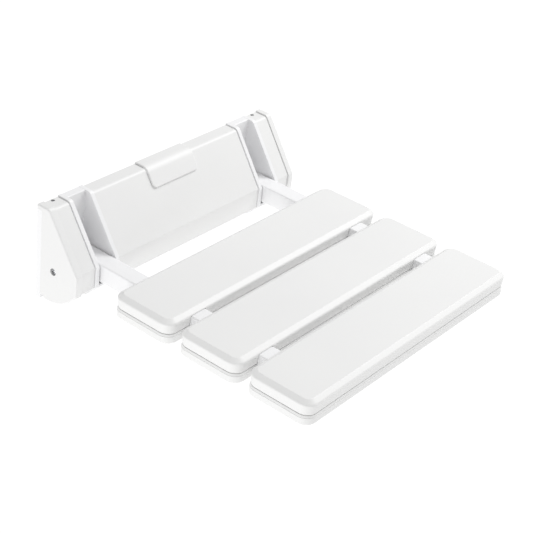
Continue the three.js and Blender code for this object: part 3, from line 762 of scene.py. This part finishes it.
def offset_path(points, distance):
    """An open path moved sideways: each side shifts right by distance, and corners are re-crossed."""
    point = np.array(points, float)
    along = np.diff(point, axis=0)
    along /= np.linalg.norm(along, axis=1)[:, None]
    side = np.stack([along[:, 1], -along[:, 0]], 1) * distance
    a, b = point[:-1] + side, point[1:] + side
    cross = along[:-1, 0] * along[1:, 1] - along[:-1, 1] * along[1:, 0]
    gap = a[1:] - a[:-1]
    reach = (gap[:, 0] * along[1:, 1] - gap[:, 1] * along[1:, 0]) / cross
    return np.concatenate([a[:1], a[:-1] + along[:-1] * reach[:, None], b[-1:]])


def cover_path():
    """The covers' outer face in section: top, brow, knee, chin and the end of the lip."""
    path = offset_path([(section_back, brow[1]), brow, knee, chin, belly], face_sink)
    sink = edge_sink - face_sink
    slope = (path[2, 0] - path[1, 0]) / (path[1, 1] - path[2, 1])
    path[0, 1] -= sink
    path[1] += (slope * sink, -sink)
    path[2] += (-sink, sink / slope)
    lip = path[4] - path[3]
    path[3] -= (sink, 0)
    path[4] = path[3] + lip / np.linalg.norm(lip) * cover_lip
    return path


def band(name, low, high):
    """A strip of cover: its section is the cover path and the same path one wall further in."""
    outer, inner = cover_path(), offset_path(cover_path(), cover_wall)
    corners = [(*p, r) for p, r in zip(outer, (0.5, 5.0, 3.2, 3.4, 0.8))]
    corners += [(*p, r) for p, r in zip(inner[::-1], (0.8, 1.4, 1.4, 2.6, 0.5))]
    return bar(name, "x", corners, low, high, (cover_edge, cover_edge))


low, high = box_mm("centre_cover")
clip_low, clip_high = box_mm("cover_clip")
centre_cover = band("centre_cover_body", low[0], high[0])
inside = offset_path(cover_path(), cover_wall / 2)
rib_back = plate_face + cover_wall
rib_path = [(rib_back, inside[0][1]), *inside[1:], (rib_back, inside[4][1])]
rib_corners = [(*p, 0.3) for p in rib_path]
ribs = [bar("rib", "x", rib_corners, x - rib_thick / 2, x + rib_thick / 2) for x in rib_places]
cover_top = cover_path()[0, 1]
slot_half = clip_hook / 2 + clip_slot_side
slot_box = rectangle(-slot_half, -past, slot_half, clip_slot_deep, 1.0)
slot = bar("slot", "z", slot_box, cover_top - cover_wall - 1, cover_top + 8)
centre_cover = cut(joined("centre_cover_body", [centre_cover, *ribs]), [slot])
fit(centre_cover, plastic, "housing", "white_cover_abs", "centre_cover")

for side in way_out:
    low, high = box_mm("end_cover_" + side)
    cover = band("end_cover_body_" + side, low[0], high[0])
    screw_low, screw_high = box_mm("cap_screw_" + side)
    centre = ((screw_low[0] + screw_high[0]) / 2, -(screw_low[1] + screw_high[1]) / 2, cover_top)
    wide, thin, deep = cap_seat
    seat = [(0, past), (wide, past), (wide, -deep), (thin, -deep), (thin, -6), (0, -6)]
    cut(cover, [turned("seat", "z", seat, centre, steps=28)])
    fit(cover, plastic, "housing", "white_cover_abs", "end_cover_" + side)


# ---------------------------------------------------------------- end plates
# Moulded ABS caps that close the housing's two ends. Each is a hollow cap with a well-rounded
# outer edge and a boss for the screw that runs into the pivot pin.

end_edge = 1.9
end_wall = 2.5
boss_radius = 4.5
side_recess = 3.85
side_recess_deep = 2.9
side_bore = 2.35

for side, way in way_out.items():
    low, high = box_mm("end_plate_" + side)
    outer = high[0] if way > 0 else low[0]
    cover_low, cover_high = box_mm("end_cover_" + side)
    inner = (cover_high[0] if way > 0 else cover_low[0]) + way * clearance
    ends = sorted((inner, outer))
    edges = (0.4, end_edge) if way > 0 else (end_edge, 0.4)
    cap = bar("end_plate_body_" + side, "x", housing_corners(), *ends, edges)
    step = plate_high[2] + clearance
    hollow_corners = [
        (plate_face + 0.2, brow[1] - end_wall, 0.5), (brow[0] - 1.3, brow[1] - end_wall, 3),
        (knee[0] - end_wall, knee[1] - 0.8, 9), (chin[0] - end_wall, chin[1] + 1, 5),
        (belly[0] - 1, belly[1] + end_wall, 45), (heel[0], heel[1] + end_wall, 1),
        (plate_face + end_wall, notch[1] + end_wall, 0.5),
        (plate_face + end_wall, step - end_wall, 0.5),
    ]
    hollow = bar("hollow", "x", hollow_corners, *sorted((inner - way * 4, outer - way * end_wall)))
    cut(cap, [hollow])
    _, depth, height = pin_centre[side]
    boss_end = cover_low[0] if way > 0 else cover_high[0]
    length = abs(outer - way * end_wall / 2 - boss_end)
    rod = [(0, 0), (boss_radius, 0), (boss_radius, length), (0, length)]
    boss = turned("boss", "x", rod, (boss_end, depth, height), way, steps=32)
    cut(cap, [boss], "UNION")
    bore = [
        (0, past), (side_recess, past), (side_recess, -side_recess_deep),
        (side_bore, -side_recess_deep), (side_bore, -40), (0, -40),
    ]
    cut(cap, [turned("bore", "x", bore, (outer, depth, height), way, steps=40)])
    fit(cap, plastic, "housing", "white_cover_abs", "end_plate_" + side)


# ---------------------------------------------------------------- cover clip
# A moulded ABS tab that hooks over the top edge of the centre cover and lies down its slanted
# face, standing about 2 mm proud. Its hook is a little narrower and drops behind the edge.

clip_wall = 1.7
clip_edge = 1.1
clip_corner = 5
clip_leg = (2.2, 9)  # thickness and drop of the hook behind the cover's top
clip_back = 1.2
clip_reach = 21.5

path = cover_path()
run = (path[2] - path[1]) / np.linalg.norm(path[2] - path[1])
foot = path[1] + run * clip_reach
spine = open_path([
    (clip_back, cover_top + clearance, 0),
    (*(offset_path([(clip_back, cover_top), path[1], foot], -clearance)[1]), 9.8),
    (*(foot + np.array([-run[1], run[0]]) * clearance), 0),
], 14)
gaps = np.linalg.norm(np.diff(spine, axis=0), axis=1)
travel = np.concatenate([[0], np.cumsum(gaps)])
whole = travel[-1]
s = np.unique(np.concatenate([
    np.linspace(0, whole - clip_corner, 44),
    whole - clip_corner + clip_corner * np.sin(np.linspace(0, math.pi / 2, 18)),
]))
spine_s = np.stack([np.interp(s, travel, spine[:, 0]), np.interp(s, travel, spine[:, 1])], 1)
tangent = np.gradient(spine_s, s, axis=0)
tangent /= np.linalg.norm(tangent, axis=1)[:, None]
outward = np.stack([-tangent[:, 1], tangent[:, 0]], 1)
half_wide = (clip_high[0] - clip_low[0]) / 2
past = np.clip(s - (whole - clip_corner), 0, clip_corner)
half = half_wide - clip_corner + np.sqrt(np.maximum(clip_corner**2 - past**2, 0))
# Across the clip, v runs from edge to edge, closer together near both edges.
v = np.sin(np.linspace(-math.pi / 2, math.pi / 2, 41))
x = half[:, None] * v
rim_gap = np.minimum(half[:, None] - np.abs(x), (whole - s)[:, None])
fall = np.clip(clip_edge - rim_gap, 0, clip_edge)
rise = clip_wall - clip_edge + np.sqrt(clip_edge**2 - fall**2)
layers = []
for lift in (rise, np.zeros_like(rise)):
    spot = spine_s[:, None, :] + outward[:, None, :] * lift[..., None]
    layers.append(np.stack([x, -spot[..., 0], spot[..., 1]], -1).reshape(-1, 3))
rows, columns = x.shape
count = rows * columns
skin = np.array(grid_faces(rows, columns, closed=False))
index = np.arange(count).reshape(rows, columns)
border = np.concatenate([index[0], index[1:, -1], index[-1, -2::-1], index[-2:0:-1, 0]])
wall = np.stack([border, np.roll(border, -1), np.roll(border, -1) + count, border + count], 1)
faces = skin.tolist() + (skin + count)[:, ::-1].tolist() + wall.tolist()
tab = solid("tab", np.concatenate(layers), faces)
leg_back = plate_face + clearance
leg_box = rectangle(
    leg_back, cover_top - clip_leg[1], leg_back + clip_leg[0], cover_top + clearance + 0.5, 0.4
)
leg = bar("leg", "x", leg_box, -clip_hook / 2, clip_hook / 2, (0.4, 0.4))
clip = joined("cover_clip_body", [tab, leg])
fit(clip, plastic, "housing", "white_cover_abs", "cover_clip")


# ---------------------------------------------------------------- studio
# A plain pale floor 480 mm below the seat that glows evenly, a large softbox high on the right, a
# low panel on the left, and an even white surround.

floor_drop = 0.48

ground = bpy.data.meshes.new("studio_floor")
reach = 12.0
ground.from_pydata(
    [(-reach, -reach, -floor_drop), (reach, -reach, -floor_drop), (reach, reach, -floor_drop),
     (-reach, reach, -floor_drop)], [], [(0, 1, 2, 3)]
)
floor = bpy.data.objects.new("studio_floor", ground)
bpy.context.scene.collection.objects.link(floor)
# Matt white paint with an even glow of its own, so that the ground stays pale past the lights.
sweep, *_ = blank(
    "floor_paint",
    {"Base Color": linear("#808080"), "Roughness": 0.9, "Emission Color": linear("#FFFFFF"),
     "Emission Strength": 0.87, "Specular IOR Level": 0.0},
)
ground.materials.append(sweep)


def softbox(name, position, target, size, power):
    """A square area light at a position, turned to face a target."""
    data = bpy.data.lights.new(name, "AREA")
    data.shape = "RECTANGLE"
    data.size, data.size_y = size
    data.energy = power
    lamp = bpy.data.objects.new(name, data)
    lamp.location = position
    direction = Vector(target) - Vector(position)
    lamp.rotation_euler = direction.to_track_quat("-Z", "Y").to_euler()
    bpy.context.scene.collection.objects.link(lamp)
    return lamp


aim = (0.0, -0.18, 0.0)
softbox("key_softbox", (1.3, -0.57, 1.69), aim, (1.3, 1.3), 28.5)
softbox("left_panel", (-1.3, -0.2, -0.32), aim, (0.9, 0.2), 4.5)

world = bpy.data.worlds.new("studio_surround")
world.use_nodes = True
world.node_tree.nodes["Background"].inputs["Color"].default_value = linear("#FFFFFF")
world.node_tree.nodes["Background"].inputs["Strength"].default_value = 0.62
bpy.context.scene.world = world
bpy.context.scene.view_settings.view_transform = "Standard"

# The camera stands in front of the seat's left end, looks down at about 31 degrees and leans a
# little to one side.
camera_place = Vector((-0.9808, -0.8677, 0.7293))
azimuth, elevation, lean = (math.radians(a) for a in (-53.993, 31.481, 6.931))
lens = 96.65

flat = math.cos(elevation)
back = Vector((math.sin(azimuth) * flat, -math.cos(azimuth) * flat, math.sin(elevation)))
level = Vector((0, 0, 1)).cross(back).normalized()
above = back.cross(level)
right = level * math.cos(lean) + above * math.sin(lean)
upward = above * math.cos(lean) - level * math.sin(lean)
camera = bpy.data.objects.new("camera", bpy.data.cameras.new("camera"))
camera.data.lens = lens
camera.data.sensor_width = 36
camera.data.clip_start = 0.02
turn = Matrix((right, upward, back)).transposed().to_4x4()
camera.matrix_world = Matrix.Translation(camera_place) @ turn
bpy.context.scene.collection.objects.link(camera)
bpy.context.scene.camera = camera

bpy.context.view_layer.update()
